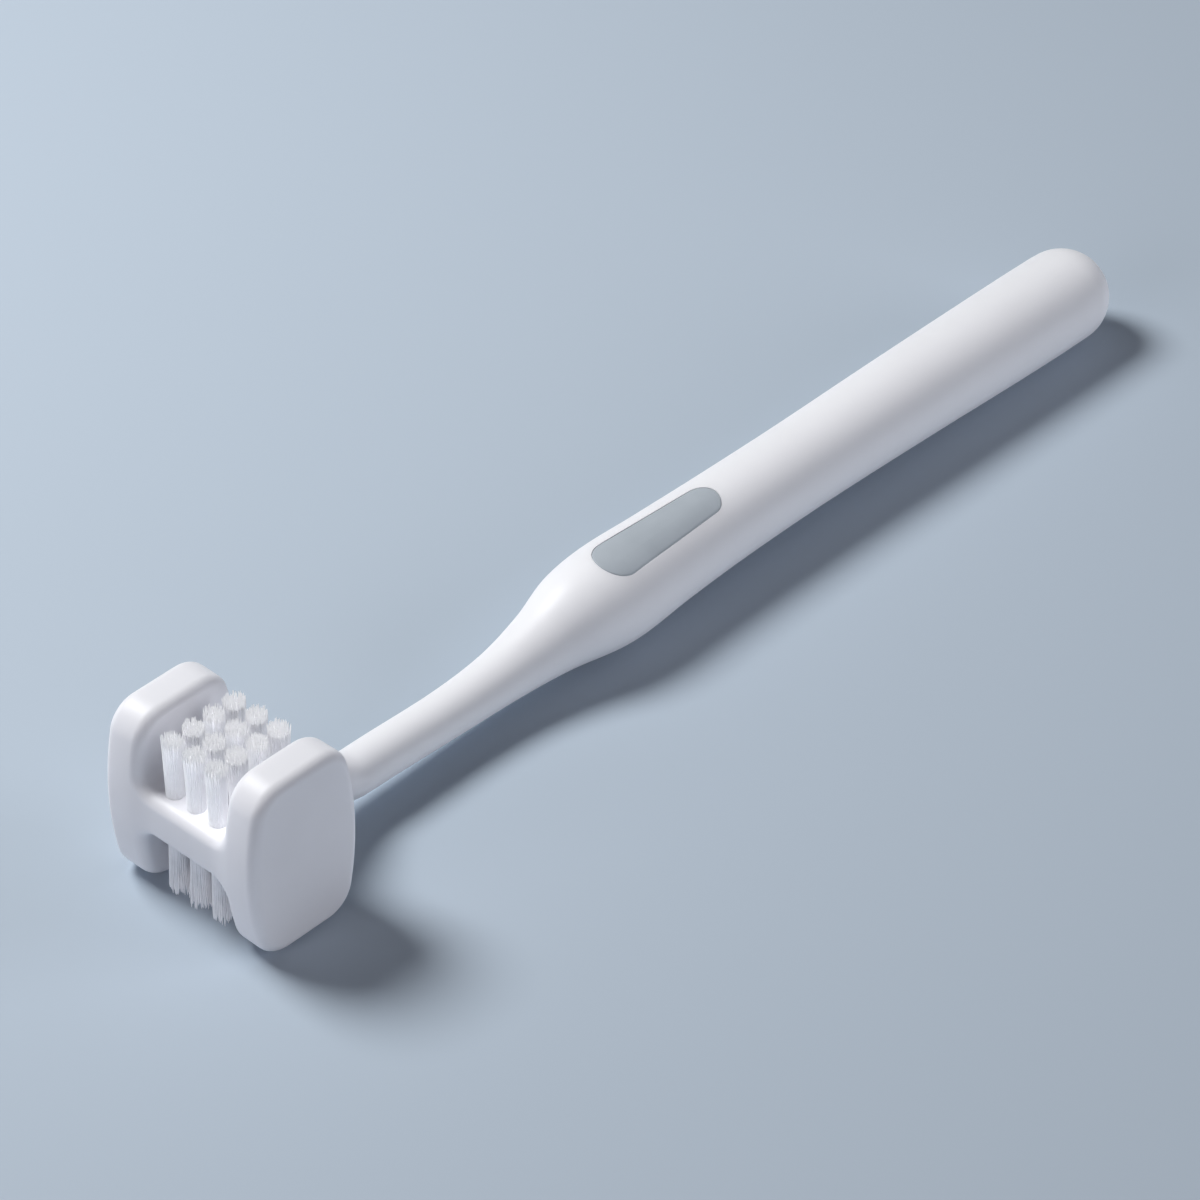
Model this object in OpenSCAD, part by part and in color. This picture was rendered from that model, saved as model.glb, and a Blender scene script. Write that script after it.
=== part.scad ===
// Manual toothbrush with a two-sided brush head, lying at rest on a table.
// The head is an H: two cheek plates joined by a bridge, with tufts above and below the bridge.
// X runs along the brush from the head to the tail, Y across it and Z up.
// The origin is under the middle of the whole brush, on the table. Lengths are in millimetres.

/* [Whole brush] */
// Length from the front of the head to the tip of the tail
brush_length = 165; // [150:1:185]
// Width over the outer faces of both cheek plates
head_width = 24.8; // [24:0.1:30]

/* [Cheek plates] */
// Length of a plate at its middle height
plate_length = 16.7; // [16.2:0.1:20]
// Length of a plate at its top and bottom, where its bowed front and rear would meet them
plate_end_length = 13; // [11.5:0.1:15]
// Height of a plate, half of it above the bridge's middle
plate_height = 24.5; // [23.5:0.1:30]
// Thickness of a plate
plate_thickness = 5.5; // [5:0.1:5.8]
// Corner radius of a plate seen from the side
plate_corner_r = 4.3; // [3.5:0.1:5]
// Rounding of a plate's outer edges
outer_edge_r = 1.4; // [1:0.1:1.8]
// How far the inner face leans outwards over its height, for release from the mould
plate_draft = 0.15; // [0.1:0.05:0.3]

/* [Bridge] */
// Thickness of the bridge that carries the tufts
bridge_thickness = 5.9; // [5.6:0.1:7]
// How far the bridge's front and rear lie inside the plates' front and rear
bridge_setback = 0.35; // [0.1:0.05:0.6]
// Inner fillet where the bridge meets the plates
bridge_fillet_r = 2.2; // [1.2:0.1:2.3]
// Rounding of the one edge that runs along the bridge's front and rear and on round the inside of the plates
inner_edge_r = 1.3; // [0.8:0.1:1.8]

/* [Tufts] */
// Tufts along the brush on each face of the bridge
tuft_rows = 4; // [2:1:4]
// Tufts across the brush on each face of the bridge
tuft_columns = 3; // [1:1:3]
// Spacing of the tufts along the brush
tuft_pitch_along = 3.24; // [3.1:0.02:3.3]
// Spacing of the tufts across the brush
tuft_pitch_across = 3.56; // [3.1:0.02:3.6]
// Distance from the bridge's front to the middle of the first row
first_row_inset = 2.85; // [2.6:0.05:3.2]
// Height of the tufts above the bridge
tuft_height = 8.5; // [5:0.1:8.8]
// How far a tuft's outer filaments lean out at their tips
tuft_flare = 0.4; // [0:0.05:0.42]
// Diameter of a filament
filament_d = 0.34; // [0.25:0.01:0.36]
// Filaments in a tuft
filaments_per_tuft = 16; // [8:1:18]

/* [Tuft holes and anchors] */
// Diameter of a blind hole in the bridge
hole_d = 2.3; // [2.2:0.05:2.4]
// Depth of a blind hole
hole_depth = 2.4; // [2.3:0.05:2.5]
// Thickness of a metal anchor, measured along the brush
anchor_thickness = 0.3; // [0.2:0.05:0.5]
// Height of an anchor, measured into the hole
anchor_height = 1.1; // [0.8:0.1:1.3]
// Thickness of the folded filaments under an anchor
fold_thickness = 0.45; // [0.3:0.05:0.5]

/* [Neck and body] */
// Diameter of the neck
neck_d = 6; // [5:0.1:7]
// Diameter of the shoulder, the thickest part of the body
shoulder_d = 13.1; // [11:0.1:15]
// Height of the neck's underside above the table
neck_lift = 2.3; // [1:0.1:4]
// Length over which the neck rises to the bridge behind the plates
neck_bend_length = 14; // [12.5:0.1:20]
// Width of the neck's root where it leaves the bridge
neck_root_width = 9; // [7:0.1:10]

/* [Grip pad] */
// Length of the soft pad
pad_length = 20.9; // [16:0.1:28]
// Width of the pad's end towards the head
pad_front_width = 6.2; // [4:0.1:7]
// Width of the pad's end towards the tail
pad_rear_width = 4.8; // [3:0.1:6]
// Thickness of the pad at its middle
pad_thickness = 1.8; // [1.2:0.1:2.5]
// How far the pad's front lies ahead of the shoulder
pad_lead = 3; // [0:0.1:5]
// How far the pad is turned about the body, from straight up, towards the near side
pad_turn = 10; // [0:1:20]

/* [Fits] */
// Gap between a tuft and its hole, and between an anchor and what it crosses
tuft_gap = 0.03; // [0.02:0.01:0.05]
// Gap round the pad in its recess
pad_gap = 0.03; // [0.02:0.01:0.1]

/* [Hidden] */
// Sides of the handle's rings and of round holes
ring_sides = 36;
hole_sides = 32;
// Sides of a tuft's root and of a filament
root_sides = 12;
filament_sides = 3;
// Steps of the head's side view: half the bridge's front, its edge, a plate's side, corner and half its top
front_steps = 2;
edge_steps = 5;
side_steps = 2;
corner_steps = 6;
top_steps = 1;
// Steps round an edge or fillet seen from the front, and along the neck's bend, the body and the tail
round_steps = 5;
bend_steps = 10;
body_steps = 44;
tail_steps = 7;
// Length by which cuts run past the surface, and the step for measuring the axis's slope
overrun = 2;
slope_step = 0.1;

// Turn from one filament to the next on an even spiral, and of one tuft against the next, in degrees
golden_angle = 137.508;
row_turn = 47;
column_turn = 101;
face_turn = 29;
// Spread of the tips' heights and height of a filament's rounded end, as shares of the tuft's height
tip_spread_share = 0.07;
tip_cone_share = 0.05;

half_plate = plate_length / 2;
half_plate_end = plate_end_length / 2;
half_height = plate_height / 2;
half_width = head_width / 2;
half_gap = half_width - plate_thickness;
half_bridge_height = bridge_thickness / 2;

// The bow of the head's front and rear, a plate's corner on it, and the middle of the inner fillet,
// measured from the head's middle
bow = half_plate - half_plate_end;
bow_r = (half_height * half_height + bow * bow) / (2 * bow);
bow_mid = half_plate - bow_r;
corner_z = half_height - plate_corner_r;
corner_turn = asin(corner_z / (bow_r - plate_corner_r));
fillet_y = half_gap - bridge_fillet_r;
fillet_z = half_bridge_height + bridge_fillet_r;

// Places along the brush, from the front of the head
head_mid_x = half_plate;
bridge_front_x = bridge_setback;
bridge_rear_x = plate_length - bridge_setback;
neck_root_x = bridge_rear_x - 2 * inner_edge_r;
neck_bend_end_x = neck_root_x + neck_bend_length;
first_row_x = bridge_front_x + first_row_inset;
origin_shift = brush_length / 2;
handle_length = brush_length - plate_length;

// The body's shape. Each row gives a place as a share of the length behind the plates, the diameter as a share
// of the way from neck to shoulder, and the height of the underside as a share of the neck's height.
shoulder_share = 0.37;
body_shares = [
    [0.00, 0.00, 1.00],
    [0.09, 0.00, 1.00],
    [0.18, 0.02, 0.78],
    [0.24, 0.14, 0.70],
    [0.29, 0.44, 0.58],
    [0.33, 0.84, 0.31],
    [shoulder_share, 1.00, 0.09],
    [0.43, 0.90, 0.36],
    [0.50, 0.82, 0.55],
    [0.60, 0.79, 0.60],
    [0.73, 0.86, 0.42],
    [0.90, 0.96, 0.05],
    [1.00, 0.95, 0.00]
];
tail_swell_share = body_shares[len(body_shares) - 1][1];
tail_r = (neck_d + (shoulder_d - neck_d) * tail_swell_share) / 2;
tail_mid_x = brush_length - tail_r;
pad_front_x = plate_length + handle_length * shoulder_share - pad_lead;
pad_rear_x = pad_front_x + pad_length;

// Places of the rings that shape the neck and body
ring_spacing = (tail_mid_x - neck_bend_end_x) / body_steps;
ring_places = concat(
    [for (k = [0:bend_steps - 1]) neck_root_x + neck_bend_length * k / bend_steps],
    [for (k = [0:body_steps - 1]) neck_bend_end_x + ring_spacing * k]
);

// Depths below the bridge's face of a tuft's root and of an anchor's lower edge
root_depth = hole_depth - tuft_gap;
anchor_depth = root_depth - fold_thickness - tuft_gap;
root_r = hole_d / 2 - tuft_gap;

function tuft_name(face, row, column) = str("tuft_", face, "_", row, "_", column);

// Smooth step from 0 to 1
function ease(t) = let (u = min(max(t, 0), 1)) u * u * (3 - 2 * u);

// Smooth curve through the rows of a table of shares, read at place s in the given column
function slope_at(table, i, column) =
    i == 0 || i == len(table) - 1 ? 0 :
    (table[i + 1][column] - table[i - 1][column]) / (table[i + 1][0] - table[i - 1][0]);
function row_before(table, s, i = 0) =
    i >= len(table) - 2 || s < table[i + 1][0] ? i : row_before(table, s, i + 1);
function read_shares(table, s, column) =
    let (
        i = row_before(table, s),
        span = table[i + 1][0] - table[i][0],
        u = (s - table[i][0]) / span,
        a = table[i][column],
        b = table[i + 1][column],
        ta = slope_at(table, i, column) * span,
        tb = slope_at(table, i + 1, column) * span
    )
    a * (1 + 2 * u) * (1 - u) * (1 - u) + ta * u * (1 - u) * (1 - u)
    + b * u * u * (3 - 2 * u) + tb * u * u * (u - 1);

// Radius of the neck and body at a place x, and the height of their axis
function place_share(x) = min(max((x - plate_length) / handle_length, 0), 1);
function body_r(x) = (neck_d + (shoulder_d - neck_d) * read_shares(body_shares, place_share(x), 1)) / 2;
function low_axis_z(x) = body_r(x) + neck_lift * read_shares(body_shares, place_share(x), 2);
function bend_share(x) = ease((x - neck_root_x) / neck_bend_length);
function axis_z(x) = half_height + (low_axis_z(x) - half_height) * bend_share(x);
function axis_angle(x) = atan((axis_z(x + slope_step) - axis_z(x - slope_step)) / (2 * slope_step));

// The root is wide across and a little thinner than the bridge
function root_blend(x) = ease(2 * (x - neck_root_x) / neck_bend_length);
function ring_half_width(x) = neck_root_width / 2 + (body_r(x) - neck_root_width / 2) * root_blend(x);
function ring_half_height(x) =
    let (root_half = half_bridge_height - bridge_setback / 4)
    root_half + (body_r(x) - root_half) * root_blend(x);

// Ring of points round the axis at place x, square to it
function body_ring(x, half_w, half_h) =
    let (lean = axis_angle(x))
    [for (i = [0:ring_sides - 1])
        let (a = 360 * i / ring_sides)
        [x - half_h * sin(a) * sin(lean), half_w * cos(a), axis_z(x) + half_h * sin(a) * cos(lean)]];

function tail_ring(k) =
    let (a = 90 * k / tail_steps)
    [for (i = [0:ring_sides - 1])
        let (b = 360 * i / ring_sides, r = tail_r * cos(a))
        [tail_mid_x + tail_r * sin(a), r * cos(b), tail_r + r * sin(b)]];

// How far an edge of radius r draws a face back, at a depth inside that edge
function rounding(depth, r) = let (d = min(max(depth, 0), r)) r - sqrt(r * r - (r - d) * (r - d));

// Distance inwards from the inner edge of the H, at a place across and a height from the head's middle,
// and the height at which a depth is reached
function depth_in_h(y, z) =
    y <= fillet_y ? half_bridge_height - z :
    z >= fillet_z ? y - half_gap :
    norm([y - fillet_y, fillet_z - z]) - bridge_fillet_r;
function height_at_depth(y, depth) =
    y <= fillet_y ? half_bridge_height - depth :
    fillet_z - sqrt(pow(bridge_fillet_r + depth, 2) - pow(y - fillet_y, 2));

// Distance from the head's middle to its front: bowed, drawn back by inset, and set back at the bridge
function front_at(y, z, inset) =
    bow_mid + sqrt(pow(bow_r - inset, 2) - z * z)
    - bridge_setback * (1 - ease((y - fillet_y) / (2 * bridge_fillet_r)));

// A quarter of the head's side view at y, as [distance forwards, height], from its front to its top middle
function head_quarter(y, in_plate, outer_inset) =
    let (
        low = height_at_depth(min(y, half_gap), inner_edge_r),
        high = in_plate ? fillet_z : height_at_depth(y, 0),
        front = [for (k = [0:front_steps - 1])
            let (z = low * k / front_steps)
            [front_at(y, z, outer_inset), z]],
        edge = [for (k = [0:edge_steps])
            let (z = low + (high - low) * sin(90 * k / edge_steps))
            [front_at(y, z, max(rounding(depth_in_h(y, z), inner_edge_r), outer_inset)), z]]
    )
    concat(front, edge, in_plate ? plate_quarter(y, outer_inset) : flat_quarter(edge[edge_steps]));

// The rest of a quarter in a plate: up its side, round its corner and along half its top
function plate_quarter(y, outer_inset) =
    let (
        inset = max(rounding(y - half_gap, inner_edge_r), outer_inset),
        r = plate_corner_r - inset,
        side_top = corner_z + r * sin(corner_turn),
        middle = front_at(y, side_top, inset) - r * cos(corner_turn),
        side = [for (k = [1:side_steps])
            let (z = fillet_z + (side_top - fillet_z) * k / side_steps)
            [front_at(y, z, inset), z]],
        corner = [for (k = [1:corner_steps])
            let (a = corner_turn + (90 - corner_turn) * k / corner_steps)
            [middle + r * cos(a), corner_z + r * sin(a)]],
        top = [for (k = [1:top_steps]) [middle * (1 - k / top_steps), corner_z + r]]
    )
    concat(side, corner, top);

// The rest of a quarter between the plates: along half the bridge's flat face
function flat_quarter(edge_end) =
    let (steps = side_steps + corner_steps + top_steps)
    [for (k = [1:steps]) [edge_end[0] * (1 - k / steps), edge_end[1]]];

// Ring of the head at y on one side, mirrored from its quarter. A plate's inner face leans outwards.
function head_ring(y, side, in_plate, outer_inset) =
    let (
        quarter = head_quarter(y, in_plate, outer_inset),
        n = len(quarter) - 1,
        ring = concat(
            [for (k = [0:n]) quarter[k]],
            [for (k = [n - 1:-1:0]) [-quarter[k][0], quarter[k][1]]],
            [for (k = [1:n]) -quarter[k]],
            [for (k = [n - 1:-1:1]) [quarter[k][0], -quarter[k][1]]]
        )
    )
    [for (p = ring)
        let (
            rise = min(max((abs(p[1]) - fillet_z) / (half_height - fillet_z), 0), 1),
            lean = in_plate ? plate_draft * rise * (half_width - y) / plate_thickness : 0
        )
        [head_mid_x + p[0], side * (y + lean), half_height + p[1]]];

// Places of the head's rings on one side, as [place across, in a plate, outer inset]: along the inner fillet,
// the plate's inner edge and its outer edge
function head_stations() =
    let (turns = [for (k = [0:round_steps]) 90 * k / round_steps])
    concat(
        [for (a = turns) [fillet_y + bridge_fillet_r * sin(a), false, 0]],
        [for (a = turns) [half_gap + inner_edge_r * (1 - cos(a)), true, 0]],
        [for (a = turns) [half_width - outer_edge_r * (1 - sin(a)), true, outer_edge_r * (1 - cos(a))]]
    );

// Faces that skin a stack of rings of n points, closed by its first ring and by its last ring or a tip
function skin_faces(rings, n, has_tip) = concat(
    [[for (i = [0:n - 1]) i]],
    [for (k = [0:rings - 2], i = [0:n - 1])
        let (a = k * n + i, b = k * n + (i + 1) % n)
        each [[a, a + n, b], [b, a + n, b + n]]],
    has_tip ?
        [for (i = [0:n - 1]) [(rings - 1) * n + i, rings * n, (rings - 1) * n + (i + 1) % n]] :
        [[for (i = [n - 1:-1:0]) (rings - 1) * n + i]]
);

module skin(rings, tip = []) {
    n = len(rings[0]);
    points = [for (ring = rings) each ring];
    polyhedron(points = concat(points, tip), faces = skin_faces(len(rings), n, len(tip) > 0), convexity = 6);
}

module head() {
    stations = head_stations();
    last = len(stations) - 1;
    skin(concat(
        [for (k = [last:-1:0]) let (s = stations[k]) head_ring(s[0], 1, s[1], s[2])],
        [for (k = [0:last]) let (s = stations[k]) head_ring(s[0], -1, s[1], s[2])]
    ));
}

function rings_between(x0, x1) =
    [for (x = ring_places) if (x >= x0 && x <= x1) body_ring(x, ring_half_width(x), ring_half_height(x))];

module neck_and_body() {
    skin(
        concat(rings_between(neck_root_x, tail_mid_x), [for (k = [0:tail_steps - 1]) tail_ring(k)]),
        [[brush_length, 0, tail_r]]
    );
}

// The stretch of the body that holds the pad, with the same rings as the whole
module padded_body() {
    skin(rings_between(pad_front_x - ring_spacing, pad_rear_x + ring_spacing));
}

module tuft_places() {
    for (row = [1:tuft_rows], column = [1:tuft_columns]) at_tuft(row, column) children();
}

// Moves its children to the middle of a tuft at the bridge's mid height
module at_tuft(row, column) {
    translate([
        first_row_x + (row - 1) * tuft_pitch_along,
        (column - (tuft_columns + 1) / 2) * tuft_pitch_across,
        half_height
    ]) children();
}

// Turns a tuft, hole or anchor of the upper face over to the lower face
module on_face(face) {
    if (face == "top") children();
    else mirror([0, 0, 1]) children();
}

module hole_cut() {
    translate([0, 0, half_bridge_height - hole_depth])
        cylinder(h = hole_depth + overrun, d = hole_d, $fn = hole_sides);
}

// The pad's outline seen square to the pad, with its front at x = 0
module pad_outline(gap) {
    hull() {
        translate([pad_front_width / 2, 0]) circle(d = pad_front_width - 2 * gap, $fn = ring_sides);
        translate([pad_length - pad_rear_width / 2, 0]) circle(d = pad_rear_width - 2 * gap, $fn = ring_sides);
    }
}

module pad_block(gap) {
    mid_x = (pad_front_x + pad_rear_x) / 2;
    translate([pad_front_x, 0, axis_z(mid_x)])
        rotate([pad_turn, 0, 0])
            translate([0, 0, body_r(mid_x) - pad_thickness + gap])
                linear_extrude(pad_thickness + overrun) pad_outline(gap);
}

module in_place() {
    translate([-origin_shift, 0, 0]) children();
}

module handle() {
    color([0.95, 0.95, 0.97])
        in_place()
            difference() {
                union() {
                    head();
                    neck_and_body();
                }
                tuft_places() hole_cut();
                tuft_places() on_face("bottom") hole_cut();
                pad_block(0);
            }
}

module grip_pad() {
    color([0.68, 0.71, 0.75])
        in_place()
            intersection() {
                padded_body();
                pad_block(pad_gap);
            }
}

// Flat metal staple that lies across the hole, over the fold of the tuft
module anchor() {
    translate([0, 0, half_bridge_height - anchor_depth + anchor_height / 2])
        cube([anchor_thickness, hole_d - 4 * tuft_gap, anchor_height], center = true);
}

module anchors(face) {
    color([0.8, 0.7, 0.45])
        in_place()
            tuft_places() on_face(face) anchor();
}

// Place of filament i in its tuft, as a share of the tuft's radius, on an even sunflower spiral
function filament_place(i, turn) =
    let (r = sqrt((i + 0.5) / filaments_per_tuft), a = i * golden_angle + turn)
    r * [cos(a), sin(a)];

// Tips end at slightly different heights, as cut and rounded filaments do
function tip_height(i, turn) =
    tuft_height * (1 - tip_spread_share * (0.5 + 0.5 * sin(i * i * golden_angle + turn)));

// Points of one filament: its buried foot, its rim near the tip, and the tip
function filament_points(i, turn, foot_r) =
    let (
        place = filament_place(i, turn),
        foot = place * foot_r,
        height = tip_height(i, turn),
        rim_height = height * (1 - tip_cone_share),
        lean = place * tuft_flare / tuft_height,
        ring = [for (k = [0:filament_sides - 1])
            let (a = 360 * k / filament_sides + turn)
            filament_d / 2 * [cos(a), sin(a)]]
    )
    concat(
        [for (p = ring) [foot[0] + p[0], foot[1] + p[1], -filament_d]],
        [for (p = ring) [foot[0] + lean[0] * rim_height + p[0], foot[1] + lean[1] * rim_height + p[1], rim_height]],
        [[foot[0] + lean[0] * height, foot[1] + lean[1] * height, height]]
    );

function filament_faces(first) =
    let (n = filament_sides)
    concat(
        [[for (k = [0:n - 1]) first + k]],
        [for (k = [0:n - 1])
            let (m = (k + 1) % n)
            each [
                [first + k, first + n + k, first + m],
                [first + m, first + n + k, first + n + m],
                [first + n + k, first + 2 * n, first + n + m]
            ]]
    );

module filaments(turn) {
    foot_r = root_r * cos(180 / root_sides) - filament_d / 2;
    points_each = 2 * filament_sides + 1;
    polyhedron(
        points = [for (i = [0:filaments_per_tuft - 1]) each filament_points(i, turn, foot_r)],
        faces = [for (i = [0:filaments_per_tuft - 1]) each filament_faces(i * points_each)],
        convexity = 10
    );
}

// The packed fold of the bundle, which fills the hole and straddles the anchor
module tuft_root() {
    slot = [anchor_thickness + 2 * tuft_gap, 2 * hole_d, anchor_height + 2 * tuft_gap];
    difference() {
        translate([0, 0, -root_depth]) cylinder(h = root_depth, r = root_r, $fn = root_sides);
        translate([0, 0, -anchor_depth + anchor_height / 2]) cube(slot, center = true);
    }
}

module tuft(face, row, column) {
    turn = row_turn * row + column_turn * column + (face == "top" ? 0 : face_turn);
    color([0.96, 0.96, 0.97])
        in_place()
            at_tuft(row, column)
                on_face(face)
                    translate([0, 0, half_bridge_height]) {
                        tuft_root();
                        filaments(turn);
                    }
}

handle();
grip_pad();
anchors("top");  // anchors_top
anchors("bottom");  // anchors_bottom
for (face = ["top", "bottom"], row = [1:tuft_rows], column = [1:tuft_columns])
    tuft(face, row, column);
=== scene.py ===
"""Manual toothbrush with a two-sided head: its finish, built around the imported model.

Sizes are in millimetres, measured from the front of the head along the brush, and become metres in the
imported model's frame at the end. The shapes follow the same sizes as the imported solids, with finer steps.
"""

import math
import random

import bpy
from mathutils import Matrix, Vector


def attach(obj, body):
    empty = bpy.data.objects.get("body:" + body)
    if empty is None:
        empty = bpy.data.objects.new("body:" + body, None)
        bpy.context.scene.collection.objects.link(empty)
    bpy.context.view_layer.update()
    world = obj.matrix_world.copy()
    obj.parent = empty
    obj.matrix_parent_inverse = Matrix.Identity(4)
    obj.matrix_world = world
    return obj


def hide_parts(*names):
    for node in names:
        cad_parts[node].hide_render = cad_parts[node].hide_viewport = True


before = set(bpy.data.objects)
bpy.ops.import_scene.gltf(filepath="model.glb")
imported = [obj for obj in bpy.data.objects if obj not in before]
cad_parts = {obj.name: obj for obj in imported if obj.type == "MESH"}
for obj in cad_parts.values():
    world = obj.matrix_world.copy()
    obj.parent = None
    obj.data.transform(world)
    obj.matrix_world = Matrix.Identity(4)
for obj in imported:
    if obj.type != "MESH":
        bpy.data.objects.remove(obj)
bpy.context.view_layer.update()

MM = 0.001

# Sizes of the whole brush and its head
BRUSH_LENGTH = 165.0
HEAD_WIDTH = 24.8
PLATE_LENGTH = 16.7
PLATE_END_LENGTH = 13.0
PLATE_HEIGHT = 24.5
PLATE_THICKNESS = 5.5
PLATE_CORNER_R = 4.3
OUTER_EDGE_R = 1.4
PLATE_DRAFT = 0.15
BRIDGE_THICKNESS = 5.9
BRIDGE_SETBACK = 0.35
INNER_EDGE_R = 1.3
BRIDGE_FILLET_R = 2.2

# Sizes of the tufts and their holes
TUFT_ROWS = 4
TUFT_COLUMNS = 3
TUFT_PITCH_ALONG = 3.24
TUFT_PITCH_ACROSS = 3.56
FIRST_ROW_INSET = 2.85
TUFT_HEIGHT = 8.5
HOLE_D = 2.3
HOLE_DEPTH = 2.4
FILAMENT_D = 0.19
FILAMENT_TAPER = 0.8
BUNDLE_GAP = 0.02
OUTER_FILAMENTS = 34
INNER_FILAMENTS = 70
CORE_DEPTH = 1.0
CORE_GAP = 0.01
CORE_LEDGE = 0.05

# Share of the tuft's radius that the inner filaments fill, thickness of the thinnest filament as a share of
# the whole, and turn from one place of an even spiral to the next
INNER_SHARE = 0.9
THINNEST_SHARE = 0.85
GOLDEN_ANGLE = math.radians(137.508)

# Rows of distance below the tip, as a share of the taper's length, and share of the thickness left there
TIP_TAPER = [(0.5, 0.85), (0.12, 0.5)]

# How the filaments of each face stand: outward lean at the tips, number of spikes, pull together into them as
# a share of the tuft's radius, straying, share of filaments that stray further, unevenness of the tips,
# length over which the tips stand free of the tuft's core, and height of the core's domed end
TUFT_FORMS = {
    "top": {"flare": 0.2, "spikes": 16, "gather": 0.3, "stray": 0.06, "stray_share": 0.2, "uneven": 0.25,
            "free_tips": 0.9, "dome": 0.4},
    "bottom": {"flare": 0.36, "spikes": 14, "gather": 0.65, "stray": 0.08, "stray_share": 0.12,
               "uneven": 0.35, "free_tips": 2.0, "dome": 3.0},
}

# Most that a tip falls short, in times the unevenness; most that an outer filament strays round the tuft, in
# steps between neighbours; and how far out those that stray further lean, as shares of their place
UNEVEN_LIMIT = 3
PLACE_STRAY = 0.2
FAR_STRAY = (0.1, 0.35)

# How steeply the lean, the pull into spikes and the straying grow from the tuft's foot to its tips
FLARE_POWER = 1.5
GATHER_POWER = 5
STRAY_POWER = 4

# Sizes of the neck, body and grip pad
NECK_D = 6.0
SHOULDER_D = 13.1
NECK_LIFT = 2.3
NECK_BEND_LENGTH = 14.0
NECK_ROOT_WIDTH = 9.0
PAD_LENGTH = 20.9
PAD_FRONT_WIDTH = 6.2
PAD_REAR_WIDTH = 4.8
PAD_THICKNESS = 1.8
PAD_LEAD = 3.0
PAD_TURN = math.radians(10)

# Rows of place along the body, swell from neck to shoulder, and height of the underside, as in the solids
SHOULDER_SHARE = 0.37
BODY_SHARES = [
    (0.00, 0.00, 1.00),
    (0.09, 0.00, 1.00),
    (0.18, 0.02, 0.78),
    (0.24, 0.14, 0.70),
    (0.29, 0.44, 0.58),
    (0.33, 0.84, 0.31),
    (SHOULDER_SHARE, 1.00, 0.09),
    (0.43, 0.90, 0.36),
    (0.50, 0.82, 0.55),
    (0.60, 0.79, 0.60),
    (0.73, 0.86, 0.42),
    (0.90, 0.96, 0.05),
    (1.00, 0.95, 0.00),
]

half_plate = PLATE_LENGTH / 2
half_plate_end = PLATE_END_LENGTH / 2
half_height = PLATE_HEIGHT / 2
half_width = HEAD_WIDTH / 2
half_gap = half_width - PLATE_THICKNESS
half_bridge_height = BRIDGE_THICKNESS / 2
handle_length = BRUSH_LENGTH - PLATE_LENGTH
neck_root_x = PLATE_LENGTH - BRIDGE_SETBACK - 2 * INNER_EDGE_R
tail_r = (NECK_D + (SHOULDER_D - NECK_D) * BODY_SHARES[-1][1]) / 2
tail_mid_x = BRUSH_LENGTH - tail_r
pad_front_x = PLATE_LENGTH + handle_length * SHOULDER_SHARE - PAD_LEAD
pad_mid_x = pad_front_x + PAD_LENGTH / 2
bundle_r = HOLE_D / 2 - FILAMENT_D / 2 - BUNDLE_GAP


def srgb(r, g, b):
    """Linear colour of an sRGB colour given in 0 to 255."""
    def channel(v):
        v /= 255
        return v / 12.92 if v <= 0.04045 else ((v + 0.055) / 1.055) ** 2.4
    return (channel(r), channel(g), channel(b), 1.0)


# Shape of the neck and body

def ease(t):
    """Smooth step from 0 to 1 while t goes from 0 to 1."""
    t = min(max(t, 0.0), 1.0)
    return t * t * (3 - 2 * t)


def slope_at(i, column):
    """Slope of a column at row i of BODY_SHARES, level at the first and last row."""
    if i == 0 or i == len(BODY_SHARES) - 1:
        return 0.0
    after, before = BODY_SHARES[i + 1], BODY_SHARES[i - 1]
    return (after[column] - before[column]) / (after[0] - before[0])


def read_shares(s, column):
    """A column of BODY_SHARES at the place s, on a smooth curve through its rows."""
    i = 0
    while i < len(BODY_SHARES) - 2 and s >= BODY_SHARES[i + 1][0]:
        i += 1
    span = BODY_SHARES[i + 1][0] - BODY_SHARES[i][0]
    u = (s - BODY_SHARES[i][0]) / span
    a, b = BODY_SHARES[i][column], BODY_SHARES[i + 1][column]
    start, end = slope_at(i, column) * span, slope_at(i + 1, column) * span
    return (a * (1 + 2 * u) * (1 - u) ** 2 + start * u * (1 - u) ** 2
            + b * u * u * (3 - 2 * u) + end * u * u * (u - 1))


def place_share(x):
    return min(max((x - PLATE_LENGTH) / handle_length, 0.0), 1.0)


def body_r(x):
    return (NECK_D + (SHOULDER_D - NECK_D) * read_shares(place_share(x), 1)) / 2


def axis_z(x):
    """Height of the body's axis, which drops from the bridge's middle in a smooth bend."""
    low = body_r(x) + NECK_LIFT * read_shares(place_share(x), 2)
    return half_height + (low - half_height) * ease((x - neck_root_x) / NECK_BEND_LENGTH)


def axis_angle(x, step=0.1):
    return math.atan2(axis_z(x + step) - axis_z(x - step), 2 * step)


def ring_half_sizes(x):
    """Half width and half height of the body's section at x: wide and flat where it leaves the bridge."""
    blend = ease(2 * (x - neck_root_x) / NECK_BEND_LENGTH)
    root_w = NECK_ROOT_WIDTH / 2
    root_h = half_bridge_height - BRIDGE_SETBACK / 4
    r = body_r(x)
    return root_w + (r - root_w) * blend, root_h + (r - root_h) * blend


# Mesh building, in millimetres

def mesh_object(name, verts, faces):
    mesh = bpy.data.meshes.new(name)
    mesh.from_pydata([tuple(v) for v in verts], [], faces)
    mesh.update()
    obj = bpy.data.objects.new(name, mesh)
    bpy.context.scene.collection.objects.link(obj)
    return obj


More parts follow.
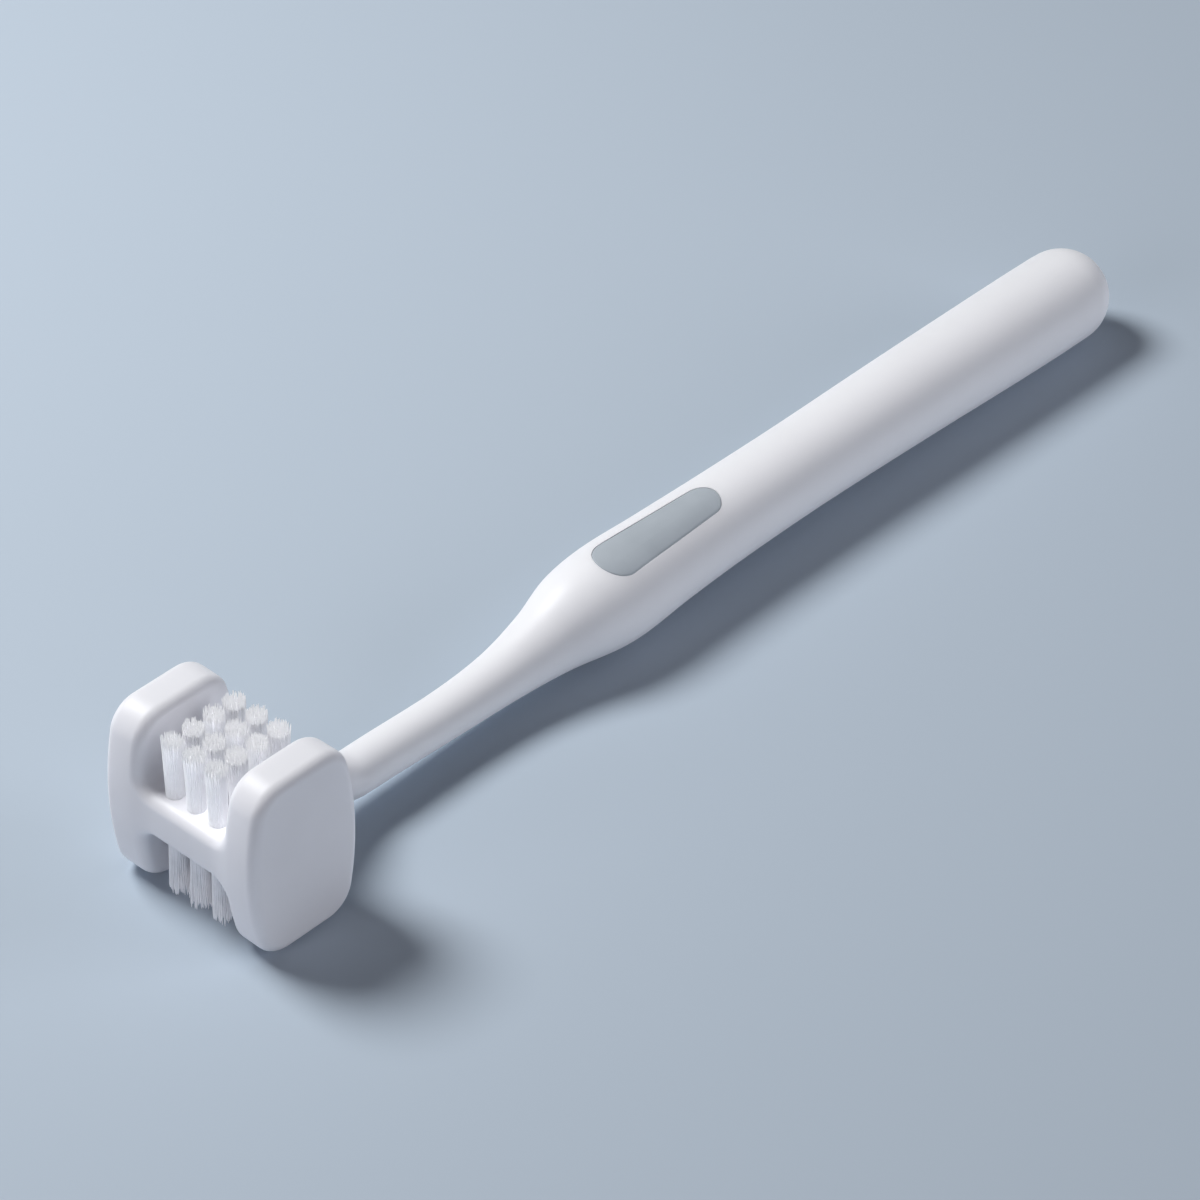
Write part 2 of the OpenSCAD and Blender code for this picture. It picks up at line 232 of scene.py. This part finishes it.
def add_rings(verts, faces, rings, tip=None, side=1):
    """Adds a closed stack of rings, flat or with a tip at the last end; side -1 mirrors it downwards."""
    first, n = len(verts), len(rings[0])
    verts += [(x, y, side * h) for ring in rings for x, y, h in ring]
    own = [tuple(range(first + n - 1, first - 1, -1))]
    for k in range(len(rings) - 1):
        for i in range(n):
            j = (i + 1) % n
            a, b = first + k * n, first + (k + 1) * n
            own.append((a + i, a + j, b + j, b + i))
    last = first + (len(rings) - 1) * n
    if tip is None:
        own.append(tuple(range(last, last + n)))
    else:
        verts.append((tip[0], tip[1], side * tip[2]))
        own += [(last + i, last + (i + 1) % n, len(verts) - 1) for i in range(n)]
    faces += own if side > 0 else [tuple(reversed(f)) for f in own]


def circle(x, y, h, r, sides):
    return [(x + r * math.cos(2 * math.pi * i / sides), y + r * math.sin(2 * math.pi * i / sides), h)
            for i in range(sides)]


def skin(name, rings, tip=None):
    """Closed surface over a stack of rings, as an object of its own."""
    verts, faces = [], []
    add_rings(verts, faces, rings, tip)
    return mesh_object(name, verts, faces)


# Shape of the head: an H seen from the front, with one rounded edge round the whole H

bow = half_plate - half_plate_end
bow_r = (half_height ** 2 + bow ** 2) / (2 * bow)
bow_mid = half_plate - bow_r
corner_z = half_height - PLATE_CORNER_R
corner_turn = math.asin(corner_z / (bow_r - PLATE_CORNER_R))
fillet_y = half_gap - BRIDGE_FILLET_R
fillet_z = half_bridge_height + BRIDGE_FILLET_R


def rounding(depth, r):
    """How far an edge of radius r draws the face back, at a depth inside that edge."""
    depth = min(max(depth, 0.0), r)
    return r - math.sqrt(r * r - (r - depth) ** 2)


def depth_in_h(y, z):
    """Distance from a point of the front view to the nearest inner edge of the H."""
    if y <= fillet_y:
        return half_bridge_height - z
    if z >= fillet_z:
        return y - half_gap
    return math.hypot(y - fillet_y, fillet_z - z) - BRIDGE_FILLET_R


def height_at_depth(y, depth):
    if y <= fillet_y:
        return half_bridge_height - depth
    return fillet_z - math.sqrt((BRIDGE_FILLET_R + depth) ** 2 - (y - fillet_y) ** 2)


def front_at(y, z, inset):
    """Distance from the head's middle to its front: bowed, and set back a little at the bridge."""
    setback = BRIDGE_SETBACK * (1 - ease((y - fillet_y) / (2 * BRIDGE_FILLET_R)))
    return bow_mid + math.sqrt((bow_r - inset) ** 2 - z * z) - setback


def head_quarter(y, in_plate, outer_inset, mid_steps=4, edge_steps=9, side_steps=10, corner_steps=14,
                 top_steps=3):
    """A quarter of the head's side view at y, from its front middle to its top middle."""
    low = height_at_depth(min(y, half_gap), INNER_EDGE_R)
    high = fillet_z if in_plate else height_at_depth(y, 0)
    points = [(front_at(y, low * k / mid_steps, outer_inset), low * k / mid_steps) for k in range(mid_steps)]
    for k in range(edge_steps + 1):
        z = low + (high - low) * math.sin(math.pi / 2 * k / edge_steps)
        points.append((front_at(y, z, max(rounding(depth_in_h(y, z), INNER_EDGE_R), outer_inset)), z))
    if not in_plate:
        steps = side_steps + corner_steps + top_steps
        edge = points[-1][0]
        return points + [(edge * (1 - k / steps), high) for k in range(1, steps + 1)]
    inset = max(rounding(y - half_gap, INNER_EDGE_R), outer_inset)
    r = PLATE_CORNER_R - inset
    side_top = corner_z + r * math.sin(corner_turn)
    for k in range(1, side_steps + 1):
        z = fillet_z + (side_top - fillet_z) * k / side_steps
        points.append((front_at(y, z, inset), z))
    middle = points[-1][0] - r * math.cos(corner_turn)
    for k in range(1, corner_steps + 1):
        a = corner_turn + (math.pi / 2 - corner_turn) * k / corner_steps
        points.append((middle + r * math.cos(a), corner_z + r * math.sin(a)))
    return points + [(middle * (1 - k / top_steps), corner_z + r) for k in range(1, top_steps + 1)]


def head_ring(y, side, in_plate=True, outer_inset=0.0):
    quarter = head_quarter(y, in_plate, outer_inset)
    turned = quarter[::-1]
    loop = [(-l, z) for l, z in quarter] + [(l, z) for l, z in turned[1:]]
    loop += [(l, -z) for l, z in quarter[1:]] + [(-l, -z) for l, z in turned[1:-1]]
    ring = []
    for l, z in reversed(loop):
        rise = min(max((abs(z) - fillet_z) / (half_height - fillet_z), 0.0), 1.0)
        lean = PLATE_DRAFT * rise * (half_width - y) / PLATE_THICKNESS if in_plate else 0.0
        ring.append((half_plate + l, side * (y + lean), half_height + z))
    return ring


def head_mesh(round_steps=9):
    turns = [math.pi / 2 * k / round_steps for k in range(round_steps + 1)]
    stations = [(fillet_y + BRIDGE_FILLET_R * math.sin(a), False, 0.0) for a in turns]
    stations += [(half_gap + INNER_EDGE_R * (1 - math.cos(a)), True, 0.0) for a in turns]
    stations += [(half_width - OUTER_EDGE_R * (1 - math.sin(a)), True, OUTER_EDGE_R * (1 - math.cos(a)))
                 for a in turns]
    rings = [head_ring(y, 1, in_plate, inset) for y, in_plate, inset in reversed(stations)]
    rings += [head_ring(y, -1, in_plate, inset) for y, in_plate, inset in stations]
    return skin("head", rings)


def body_ring(x, sides):
    half_w, half_h = ring_half_sizes(x)
    lean = axis_angle(x)
    ring = []
    for i in range(sides):
        a = 2 * math.pi * i / sides
        ring.append((x - half_h * math.sin(a) * math.sin(lean), half_w * math.cos(a),
                     axis_z(x) + half_h * math.sin(a) * math.cos(lean)))
    return ring


def body_mesh(sides=96, bend_steps=28, body_steps=150, tail_steps=18):
    bend_end = neck_root_x + NECK_BEND_LENGTH
    places = [neck_root_x + NECK_BEND_LENGTH * k / bend_steps for k in range(bend_steps)]
    places += [bend_end + (tail_mid_x - bend_end) * k / body_steps for k in range(body_steps)]
    rings = [body_ring(x, sides) for x in places]
    angles = [2 * math.pi * i / sides for i in range(sides)]
    for k in range(tail_steps):
        a = math.pi / 2 * k / tail_steps
        r = tail_r * math.cos(a)
        rings.append([(tail_mid_x + tail_r * math.sin(a), r * math.cos(b), tail_r + r * math.sin(b))
                      for b in angles])
    return skin("body", rings, tip=(BRUSH_LENGTH, 0, tail_r))


def pad_frame_point(x, across, up):
    """Point along the brush, across the pad and outwards from the body's axis, in the pad's turned frame."""
    c, s = math.cos(PAD_TURN), math.sin(PAD_TURN)
    return (x, across * c - up * s, axis_z(pad_mid_x) + across * s + up * c)


def pad_outline(inset, steps=40):
    """Two round ends joined by straight sides, moved inwards by inset."""
    r0, r1 = PAD_FRONT_WIDTH / 2, PAD_REAR_WIDTH / 2
    x0, x1 = pad_front_x + r0, pad_front_x + PAD_LENGTH - r1
    tangent = math.acos((r0 - r1) / (x1 - x0))
    points = []
    for k in range(steps + 1):
        a = tangent + (2 * math.pi - 2 * tangent) * k / steps
        points.append((x0 + (r0 - inset) * math.cos(a), (r0 - inset) * math.sin(a)))
    for k in range(steps + 1):
        a = -tangent + 2 * tangent * k / steps
        points.append((x1 + (r1 - inset) * math.cos(a), (r1 - inset) * math.sin(a)))
    return points


def boolean(target, cutter, operation):
    """Joins the cutter to the target or cuts it away, and removes the cutter."""
    modifier = target.modifiers.new("boolean", "BOOLEAN")
    modifier.operation = operation
    modifier.solver = "EXACT"
    modifier.object = cutter
    depsgraph = bpy.context.evaluated_depsgraph_get()
    result = bpy.data.meshes.new_from_object(target.evaluated_get(depsgraph))
    target.modifiers.clear()
    old = target.data
    target.data = result
    bpy.data.meshes.remove(old)
    bpy.data.objects.remove(cutter)


def tuft_place(row, column):
    x = BRIDGE_SETBACK + FIRST_ROW_INSET + (row - 1) * TUFT_PITCH_ALONG
    y = (column - (TUFT_COLUMNS + 1) / 2) * TUFT_PITCH_ACROSS
    return x, y


def tuft_list():
    return [(face, row, column) for face in ("top", "bottom")
            for row in range(1, TUFT_ROWS + 1) for column in range(1, TUFT_COLUMNS + 1)]


def hole_cutters(sides=40, overrun=2.0):
    verts, faces = [], []
    for face, row, column in tuft_list():
        x, y = tuft_place(row, column)
        side = 1 if face == "top" else -1
        z0 = half_height + side * (half_bridge_height - HOLE_DEPTH)
        z1 = half_height + side * (half_bridge_height + overrun)
        low, high = min(z0, z1), max(z0, z1)
        first = len(verts)
        verts += circle(x, y, low, HOLE_D / 2, sides) + circle(x, y, high, HOLE_D / 2, sides)
        faces.append(tuple(first + i for i in range(sides - 1, -1, -1)))
        faces.append(tuple(first + sides + i for i in range(sides)))
        for i in range(sides):
            j = (i + 1) % sides
            faces.append((first + i, first + j, first + sides + j, first + sides + i))
    return mesh_object("hole_cutters", verts, faces)


def pad_cutter(overrun=2.0):
    floor_up = body_r(pad_mid_x) - PAD_THICKNESS
    edge = pad_outline(0.0)
    ends = (floor_up, floor_up + PAD_THICKNESS + overrun)
    rings = [[pad_frame_point(x, w, up) for x, w in edge] for up in ends]
    return skin("pad_cutter", rings)


def to_packed_frame(obj):
    """Millimetres from the head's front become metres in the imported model's frame."""
    obj.data.transform(Matrix.Diagonal((MM, MM, MM, 1)) @ Matrix.Translation((-BRUSH_LENGTH / 2, 0, 0)))
    obj.data.update()


def smooth(obj, sharp_angle=math.radians(35)):
    for polygon in obj.data.polygons:
        polygon.use_smooth = True
    obj.data.set_sharp_from_angle(angle=sharp_angle)


def finish_piece(obj, node, material):
    to_packed_frame(obj)
    smooth(obj)
    obj.data.materials.clear()
    obj.data.materials.append(material)
    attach(obj, "root")
    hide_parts(node)


# Materials

def new_material(name):
    material = bpy.data.materials.new(name)
    material.use_nodes = True
    nodes, links = material.node_tree.nodes, material.node_tree.links
    return material, nodes, links, nodes["Principled BSDF"]


def noise(nodes, links, scale, detail=3.0, roughness=0.5):
    coords = nodes.new("ShaderNodeTexCoord")
    texture = nodes.new("ShaderNodeTexNoise")
    texture.inputs["Scale"].default_value = scale
    texture.inputs["Detail"].default_value = detail
    texture.inputs["Roughness"].default_value = roughness
    links.new(coords.outputs["Object"], texture.inputs["Vector"])
    return texture


def ramp(nodes, links, source, low, high, start=0.3, end=0.7):
    node = nodes.new("ShaderNodeValToRGB")
    node.color_ramp.elements[0].position = start
    node.color_ramp.elements[0].color = low
    node.color_ramp.elements[1].position = end
    node.color_ramp.elements[1].color = high
    links.new(source, node.inputs["Fac"])
    return node


def value_map(nodes, links, source, low, high):
    node = nodes.new("ShaderNodeMapRange")
    node.inputs["To Min"].default_value = low
    node.inputs["To Max"].default_value = high
    links.new(source, node.inputs["Value"])
    return node


def bump(nodes, links, height, shader, strength, distance):
    node = nodes.new("ShaderNodeBump")
    node.inputs["Strength"].default_value = strength
    node.inputs["Distance"].default_value = distance
    links.new(height, node.inputs["Height"])
    links.new(node.outputs["Normal"], shader.inputs["Normal"])


def plastic_material():
    """White satin moulded plastic with faint flow marks, painted whiter from the neck on as painted light."""
    material, nodes, links, shader = new_material("white_plastic")
    coords = nodes.new("ShaderNodeTexCoord")
    split = nodes.new("ShaderNodeSeparateXYZ")
    links.new(coords.outputs["Object"], split.inputs["Vector"])
    # Painted light: the one plastic is painted in two tones, blended from the back of the head to the neck.
    # The body is painted whiter for the brighter light it shows, and the head a little darker so that its lit
    # tops stay below plain white.
    along = nodes.new("ShaderNodeMapRange")
    along.inputs["From Min"].default_value = (PLATE_LENGTH - BRUSH_LENGTH / 2) * MM
    along.inputs["From Max"].default_value = (2 * PLATE_LENGTH - BRUSH_LENGTH / 2) * MM
    links.new(split.outputs["X"], along.inputs["Value"])
    cloud = noise(nodes, links, scale=60)
    head_painted_shade_colour = ramp(nodes, links, cloud.outputs["Fac"], srgb(233, 233, 238), srgb(238, 238, 243))
    body_painted_light_colour = ramp(nodes, links, cloud.outputs["Fac"], srgb(245, 245, 250), srgb(249, 249, 254))
    colour = nodes.new("ShaderNodeMix")
    colour.data_type = "RGBA"
    by_kind = {socket.identifier: socket for socket in [*colour.inputs, *colour.outputs]}
    links.new(along.outputs["Result"], by_kind["Factor_Float"])
    links.new(head_painted_shade_colour.outputs["Color"], by_kind["A_Color"])
    links.new(body_painted_light_colour.outputs["Color"], by_kind["B_Color"])
    links.new(by_kind["Result_Color"], shader.inputs["Base Color"])
    grain = noise(nodes, links, scale=2500, detail=2)
    rough = value_map(nodes, links, grain.outputs["Fac"], 0.44, 0.5)
    links.new(rough.outputs["Result"], shader.inputs["Roughness"])
    bump(nodes, links, grain.outputs["Fac"], shader, strength=0.15, distance=0.00002)
    shader.inputs["IOR"].default_value = 1.49
    shader.inputs["Subsurface Weight"].default_value = 0.25
    shader.inputs["Subsurface Radius"].default_value = (1.0, 1.0, 1.0)
    shader.inputs["Subsurface Scale"].default_value = 0.0012
    return material


def rubber_material():
    """Matte light grey soft rubber with a fine even grain."""
    material, nodes, links, shader = new_material("grip_rubber")
    cloud = noise(nodes, links, scale=180)
    colour = ramp(nodes, links, cloud.outputs["Fac"], srgb(170, 178, 186), srgb(178, 186, 194))
    links.new(colour.outputs["Color"], shader.inputs["Base Color"])
    grain = noise(nodes, links, scale=6000, detail=4)
    rough = value_map(nodes, links, grain.outputs["Fac"], 0.55, 0.75)
    links.new(rough.outputs["Result"], shader.inputs["Roughness"])
    bump(nodes, links, grain.outputs["Fac"], shader, strength=0.35, distance=0.00003)
    shader.inputs["Sheen Weight"].default_value = 0.1
    shader.inputs["Sheen Roughness"].default_value = 0.5
    return material


def filament_material(name, low, high, scatter, reach):
    """White nylon with a soft shine, in which light scatters over the given reach in millimetres."""
    material, nodes, links, shader = new_material(name)
    cloud = noise(nodes, links, scale=900)
    colour = ramp(nodes, links, cloud.outputs["Fac"], low, high)
    links.new(colour.outputs["Color"], shader.inputs["Base Color"])
    rough = value_map(nodes, links, cloud.outputs["Fac"], 0.6, 0.75)
    links.new(rough.outputs["Result"], shader.inputs["Roughness"])
    shader.inputs["IOR"].default_value = 1.53
    shader.inputs["Specular IOR Level"].default_value = 0.25
    shader.inputs["Subsurface Weight"].default_value = scatter
    shader.inputs["Subsurface Radius"].default_value = (1.0, 1.0, 1.0)
    shader.inputs["Subsurface Scale"].default_value = reach * MM
    return material


def metal_material():
    """Flat drawn wire, with fine lines along its drawing direction."""
    material, nodes, links, shader = new_material("anchor_metal")
    lines = noise(nodes, links, scale=4000, detail=2)
    colour = ramp(nodes, links, lines.outputs["Fac"], srgb(190, 165, 110), srgb(214, 190, 132))
    links.new(colour.outputs["Color"], shader.inputs["Base Color"])
    rough = value_map(nodes, links, lines.outputs["Fac"], 0.25, 0.4)
    links.new(rough.outputs["Result"], shader.inputs["Roughness"])
    shader.inputs["Metallic"].default_value = 1.0
    return material


def floor_material():
    material, _, _, shader = new_material("floor")
    shader.inputs["Base Color"].default_value = srgb(183, 195, 208)
    shader.inputs["Roughness"].default_value = 0.9
    shader.inputs["Specular IOR Level"].default_value = 0.1
    return material


# Pieces

def make_handle(material):
    handle = head_mesh()
    handle.name = "handle_shell"
    boolean(handle, body_mesh(), "UNION")
    boolean(handle, hole_cutters(), "DIFFERENCE")
    boolean(handle, pad_cutter(), "DIFFERENCE")
    finish_piece(handle, "handle", material)


def surface_up(x, across):
    """Height of the body's surface over its axis in the pad's turned frame."""
    drop = axis_z(x) - axis_z(pad_mid_x)
    r = body_r(x)
    shifted = across - drop * math.sin(PAD_TURN)
    return drop * math.cos(PAD_TURN) + math.sqrt(max(r * r - shifted * shifted, 0.0))


def make_pad(material, gap=0.05, rim=0.16, least_r=0.02, rim_steps=6, top_steps=12):
    """Soft pad, flush with the body, with a softly rounded rim along its seam."""
    floor_up = body_r(pad_mid_x) - PAD_THICKNESS + gap
    rings = [[pad_frame_point(x, w, floor_up) for x, w in pad_outline(gap)]]
    insets = [rim * (1 - math.cos(math.pi / 2 * k / rim_steps)) for k in range(rim_steps + 1)]
    reach = min(PAD_FRONT_WIDTH, PAD_REAR_WIDTH) / 2 - rim - gap - least_r
    insets += [rim + reach * k / top_steps for k in range(1, top_steps + 1)]
    for inset in insets:
        drop = rim - math.sqrt(max(rim ** 2 - max(rim - inset, 0.0) ** 2, 0.0))
        rings.append([pad_frame_point(x, w, surface_up(x, w) - drop) for x, w in pad_outline(gap + inset)])
    pad = skin("soft_pad", rings)
    finish_piece(pad, "grip_pad", material)


def disc_place(i, count, turn):
    """Place i of an even spiral on a disc of radius 1."""
    r, a = math.sqrt((i + 0.5) / count), turn + i * GOLDEN_ANGLE
    return Vector((r * math.cos(a), r * math.sin(a)))


def fluted_ring(paths, h, r, share=1.0, flute_angle=0.9, deepest_groove=0.25):
    """Outline round the outer filaments at the height h, drawn in to a share of its size."""
    ring = []
    for k, path in enumerate(paths):
        place, after = path(h), paths[(k + 1) % len(paths)](h)
        out = place.normalized()
        along = Vector((-out.y, out.x))
        for a in (-flute_angle, 0.0, flute_angle):
            ring.append(place + r * (math.cos(a) * out + math.sin(a) * along))
        open_gap = max((after - place).length - 2 * r, 0.0)
        ring.append((place + after) / 2 * (1 - min(open_gap, deepest_groove)))
    return [(share * p.x, share * p.y, h) for p in ring]


def add_core(verts, faces, paths, top, dome, side, steps=10, dome_steps=7, end_share=0.2):
    """The middle of a tuft, where the filaments stand so close that they read as one fluted body."""
    sides = 4 * len(paths)
    turn = math.atan2(paths[0](0).y, paths[0](0).x) - 2 * math.pi / sides
    c, s = math.cos(turn), math.sin(turn)
    rings = [[(x * c - y * s, x * s + y * c, h) for x, y, h in circle(0, 0, h, HOLE_D / 2 - CORE_GAP, sides)]
             for h in (-CORE_DEPTH, -CORE_LEDGE)]
    for k in range(steps + 1):
        h = CORE_LEDGE + (top - dome - CORE_LEDGE) * k / steps
        rings.append(fluted_ring(paths, h, FILAMENT_D / 2))
    for k in range(1, dome_steps + 1):
        a = math.pi / 2 * k / dome_steps
        h = top - dome * (1 - math.sin(a))
        rings.append(fluted_ring(paths, h, FILAMENT_D / 2, end_share + (1 - end_share) * math.cos(a)))
    add_rings(verts, faces, rings, side=side)


def add_filament(verts, faces, path, start, height, r, side, sides=5, steps=3):
    """One filament along path(h), from the height start to its tapered tip."""
    body_top = height - FILAMENT_TAPER
    levels = [(start + (body_top - start) * k / steps, 1.0) for k in range(steps + 1)]
    levels += [(height - below * FILAMENT_TAPER, share) for below, share in TIP_TAPER]
    rings = [circle(*path(h), h, r * share, sides) for h, share in levels]
    add_rings(verts, faces, rings, (*path(height), height), side)


def tuft_paths(form, draw):
    """Where each filament of a tuft runs, the outer ones first in their order round it."""
    turn = draw.uniform(0, 2 * math.pi)
    spikes = [disc_place(k, form["spikes"], turn + 1) for k in range(form["spikes"])]
    places = []
    for i in range(OUTER_FILAMENTS):
        a = turn + 2 * math.pi * (i + draw.uniform(-PLACE_STRAY, PLACE_STRAY)) / OUTER_FILAMENTS
        places.append(Vector((math.cos(a), math.sin(a))))
    places += [INNER_SHARE * disc_place(i, INNER_FILAMENTS, turn) for i in range(INNER_FILAMENTS)]

    def make_path(place):
        spike = min(spikes, key=lambda s: (s - place).length)
        gather = (spike - place) * bundle_r * form["gather"]
        stray = Vector((draw.gauss(0, form["stray"]), draw.gauss(0, form["stray"])))
        if draw.random() < form["stray_share"]:
            stray += place * draw.uniform(*FAR_STRAY)

        def path(h):
            rise = max(h, 0.0) / TUFT_HEIGHT
            lean = place * (bundle_r + form["flare"] * rise ** FLARE_POWER)
            return lean + gather * rise ** GATHER_POWER + stray * rise ** STRAY_POWER
        return path

    return [make_path(place) for place in places]


def make_tuft(face, row, column, core_material, strand_material):
    """A fluted core and free tips.

    Nylon lets light through, so only half of the cores cast a shadow and no tip does: every second row on the
    upper face, every second tuft on the lower. The upper tips pass no light on to each other either, because
    without shadows they would gain light and turn plain white.
    """
    draw = random.Random(f"{face} {row} {column}")
    side = 1 if face == "top" else -1
    form = TUFT_FORMS[face]
    paths = tuft_paths(form, draw)
    core_top = TUFT_HEIGHT - form["free_tips"]
    core, strands = ([], []), ([], [])
    add_core(*core, paths[:OUTER_FILAMENTS], core_top, form["dome"], side)
    for path in paths:
        height = TUFT_HEIGHT - min(abs(draw.gauss(0, form["uneven"])), UNEVEN_LIMIT * form["uneven"])
        r = FILAMENT_D / 2 * draw.uniform(THINNEST_SHARE, 1.0)
        add_filament(*strands, path, core_top - form["dome"] - CORE_LEDGE, height, r, side)
    x, y = tuft_place(row, column)
    z = half_height + side * half_bridge_height
    shadow_turn = row if face == "top" else row + column
    parts = (("bundle", core, core_material), ("strands", strands, strand_material))
    for name, (verts, faces), material in parts:
        verts = [(x + vx, y + vy, z + vz) for vx, vy, vz in verts]
        piece = mesh_object(f"{name}_{face}_{row}_{column}", verts, faces)
        piece.visible_shadow = name == "bundle" and shadow_turn % 2 == 0
        piece.visible_diffuse = name == "bundle" or face == "bottom"
        finish_piece(piece, f"tuft_{face}_{row}_{column}", material)


def make_floor(material):
    size = 3.0
    corners = [(-size, -size, 0), (size, -size, 0), (size, size, 0), (-size, size, 0)]
    floor = mesh_object("floor", corners, [(0, 1, 2, 3)])
    floor.data.materials.append(material)


# Camera and light

PHOTO_SIZE = 1200
FOCAL_PX = 5000
CAMERA_TURN = math.radians(47.086)
CAMERA_RISE = math.radians(38.528)
CAMERA_ROLL = math.radians(0.31)
CAMERA_DISTANCE = 612.8
CAMERA_TARGET = (-9.83, 2.67, 3.54)


def make_camera():
    camera = bpy.data.cameras.new("camera")
    camera.sensor_width = 36.0
    camera.lens = FOCAL_PX / PHOTO_SIZE * camera.sensor_width
    camera.clip_end = 20
    obj = bpy.data.objects.new("camera", camera)
    bpy.context.scene.collection.objects.link(obj)
    ca, sa = math.cos(CAMERA_TURN), math.sin(CAMERA_TURN)
    ce, se = math.cos(CAMERA_RISE), math.sin(CAMERA_RISE)
    right = Vector((ca, -sa, 0))
    back = Vector((-sa * ce, -ca * ce, se))
    up = back.cross(right)
    cr, sr = math.cos(CAMERA_ROLL), math.sin(CAMERA_ROLL)
    right, up = cr * right + sr * up, cr * up - sr * right
    place = (Vector(CAMERA_TARGET) + back * CAMERA_DISTANCE) * MM
    obj.matrix_world = Matrix((
        (right.x, up.x, back.x, place.x),
        (right.y, up.y, back.y, place.y),
        (right.z, up.z, back.z, place.z),
        (0, 0, 0, 1),
    ))
    bpy.context.scene.camera = obj


def area_light(name, azimuth, elevation, distance, size, power, colour, glossy=True):
    """Round soft light on the floor's middle: angles in degrees, lengths in metres, power in watts."""
    light = bpy.data.lights.new(name, "AREA")
    light.shape = "DISK"
    light.size = size
    light.energy = power
    light.color = colour
    obj = bpy.data.objects.new(name, light)
    bpy.context.scene.collection.objects.link(obj)
    turn, rise = math.radians(azimuth), math.radians(elevation)
    toward = Vector((math.cos(rise) * math.cos(turn), math.cos(rise) * math.sin(turn), math.sin(rise)))
    obj.location = toward * distance
    obj.rotation_euler = toward.to_track_quat("Z", "Y").to_euler()
    obj.visible_glossy = glossy


def make_light():
    area_light("key_light", 111, 54, 0.61, 0.26, 3.6, (0.99, 1.0, 1.0))
    area_light("near_fill", -52, 15, 1.2, 0.8, 6.0, (0.95, 0.95, 1.0), glossy=False)
    area_light("front_fill", 180, 15, 1.2, 0.8, 3.4, (1.0, 0.96, 1.0), glossy=False)
    world = bpy.data.worlds.new("world")
    bpy.context.scene.world = world
    world.use_nodes = True
    background = world.node_tree.nodes["Background"]
    background.inputs["Color"].default_value = srgb(214, 222, 234)
    background.inputs["Strength"].default_value = 0.02


bpy.context.scene.view_settings.view_transform = "Standard"
make_camera()
make_light()
make_floor(floor_material())
plastic = plastic_material()
make_handle(plastic)
make_pad(rubber_material())
core_finish = filament_material("nylon_bundle", srgb(237, 238, 242), srgb(242, 243, 247), 0.7, 1.0)
strand_finish = filament_material("nylon_tips", srgb(240, 241, 245), srgb(245, 246, 250), 1.0, 0.15)
shaded_finish = filament_material("nylon_filament", srgb(238, 239, 243), srgb(245, 246, 250), 0.0, 0.15)
for face, row, column in tuft_list():
    if face == "top":
        make_tuft(face, row, column, core_finish, strand_finish)
    else:
        make_tuft(face, row, column, shaded_finish, shaded_finish)
metal = metal_material()
for node in ("anchors_top", "anchors_bottom"):
    cad_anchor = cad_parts[node]
    cad_anchor.data.materials.clear()
    cad_anchor.data.materials.append(metal)
